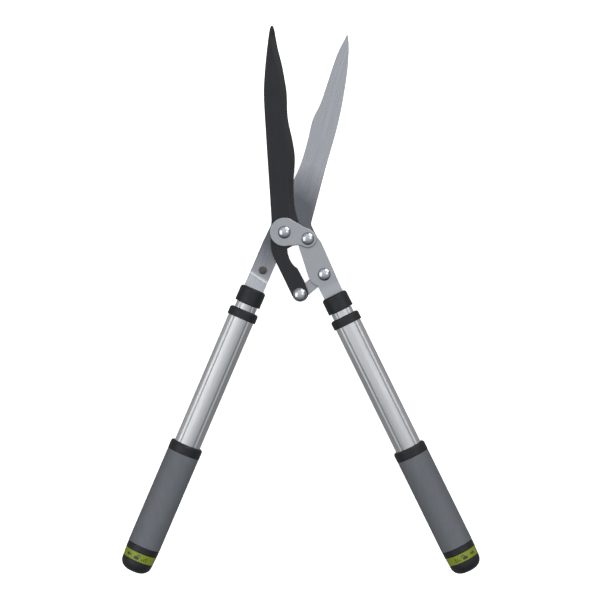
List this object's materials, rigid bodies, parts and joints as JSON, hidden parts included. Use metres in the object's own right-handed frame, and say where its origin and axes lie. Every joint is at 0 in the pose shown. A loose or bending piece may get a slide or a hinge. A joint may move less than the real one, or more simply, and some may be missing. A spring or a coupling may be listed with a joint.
{
  "type": "telescopic hedge shears",
  "caption": "Hand hedge shears with wavy blades, a link-driven compound pivot, telescopic aluminium handles and twist locks at the grip ends.",
  "frame": {"origin": "centre of the object's box, at its lowest point, with the open shears lying flat on their back", "axes": "+Y towards the blade tips, +Z through the thickness out of the front face, +X to the right seen from the front"},
  "size_m": [0.425, 0.6514, 0.0398],
  "materials": {
    "black_coated_steel": "satin black non-stick coating",
    "brushed_blade_steel": "brushed lengthwise",
    "satin_plated_steel": "satin plating with a fine grain",
    "chromed_steel": "polished",
    "brushed_aluminium": "drawn and brushed lengthwise",
    "black_plastic": "satin moulding",
    "grey_grip": "fine foamed grip",
    "green_plastic": "satin moulding",
    "buffer_rubber": "matt",
    "white_nylon": "natural nylon"
  },
  "bodies": {
    "frame": {"lower_blade": "brushed_blade_steel", "pivot_plate": "satin_plated_steel", "stop_buffer": "buffer_rubber", "main_pivot_bolt": "chromed_steel", "main_pivot_washer": "chromed_steel", "main_pivot_nut": "chromed_steel", "side_pivot_bolt": "chromed_steel", "side_pivot_washer": "chromed_steel", "side_pivot_nut": "chromed_steel", "left_ferrule": "black_plastic", "left_tang_pin": "chromed_steel", "left_inner_tube": "brushed_aluminium", "left_lock_plug": "white_nylon"},
    "upper_blade": {"upper_blade": "black_coated_steel", "blade_link_bolt": "chromed_steel", "blade_link_washer": "chromed_steel", "blade_link_nut": "chromed_steel"},
    "right_arm": {"right_arm_plate": "satin_plated_steel", "arm_link_bolt": "chromed_steel", "arm_link_washer": "chromed_steel", "arm_link_nut": "chromed_steel", "right_ferrule": "black_plastic", "right_tang_pin": "chromed_steel", "right_inner_tube": "brushed_aluminium", "right_lock_plug": "white_nylon"},
    "drive_link": {"drive_link": "satin_plated_steel"},
    "left_grip": {"left_outer_tube": "brushed_aluminium", "left_tube_collar": "black_plastic", "left_grip_top_ring": "black_plastic", "left_grip_sleeve": "grey_grip", "left_grip_base_ring": "black_plastic", "left_end_bush": "white_nylon"},
    "left_lock": {"left_lock_ring": "green_plastic", "left_end_cap": "black_plastic", "left_lock_spindle": "brushed_aluminium", "left_spindle_clip": "chromed_steel"},
    "left_cam": {"left_lock_cam": "white_nylon"},
    "right_grip": {"right_outer_tube": "brushed_aluminium", "right_tube_collar": "black_plastic", "right_grip_top_ring": "black_plastic", "right_grip_sleeve": "grey_grip", "right_grip_base_ring": "black_plastic", "right_end_bush": "white_nylon"},
    "right_lock": {"right_lock_ring": "green_plastic", "right_end_cap": "black_plastic", "right_lock_spindle": "brushed_aluminium", "right_spindle_clip": "chromed_steel"},
    "right_cam": {"right_lock_cam": "white_nylon"}
  },
  "joints": [
    {"name": "handle_swing", "type": "hinge", "parent": "frame", "child": "right_arm", "pos_m": [0.00817, 0.07201, 0.01645], "axis": [0, 0, 1], "range_deg": [-32, 15]},
    {"name": "blade_swing", "type": "hinge", "parent": "frame", "child": "upper_blade", "pos_m": [-0.01963, 0.07971, 0.01645], "axis": [0, 0, 1], "range_deg": [-20.9, 9.8]},
    {"name": "link_swing", "type": "hinge", "parent": "right_arm", "child": "drive_link", "pos_m": [0.02777, 0.02981, 0.01645], "axis": [0, 0, 1], "range_deg": [-12, 25.6]},
    {"name": "left_extension", "type": "slide", "parent": "frame", "child": "left_grip", "axis": [-0.3931, -0.9195, 0], "range_m": [0, 0.2]},
    {"name": "left_lock_twist", "type": "hinge", "parent": "left_grip", "child": "left_lock", "pos_m": [-0.19151, -0.3045, 0.0199], "axis": [-0.3931, -0.9195, 0], "range_deg": [0, 90]},
    {"name": "left_cam_twist", "type": "hinge", "parent": "frame", "child": "left_cam", "pos_m": [-0.16438, -0.24106, 0.0199], "axis": [-0.3931, -0.9195, 0], "range_deg": [0, 90]},
    {"name": "right_extension", "type": "slide", "parent": "right_arm", "child": "right_grip", "axis": [0.4415, -0.8973, 0], "range_m": [0, 0.2]},
    {"name": "right_lock_twist", "type": "hinge", "parent": "right_grip", "child": "right_lock", "pos_m": [0.19128, -0.30439, 0.0199], "axis": [0.4415, -0.8973, 0], "range_deg": [0, 90]},
    {"name": "right_cam_twist", "type": "hinge", "parent": "right_arm", "child": "right_cam", "pos_m": [0.16082, -0.24247, 0.0199], "axis": [0.4415, -0.8973, 0], "range_deg": [0, 90]}
  ],
  "couplings": [
    {"joint": "blade_swing", "follows": "handle_swing", "ratio": 0.6525},
    {"joint": "link_swing", "follows": "handle_swing", "ratio": -0.7995},
    {"joint": "left_cam_twist", "follows": "left_lock_twist", "ratio": 1},
    {"joint": "right_cam_twist", "follows": "right_lock_twist", "ratio": 1}
  ]
}
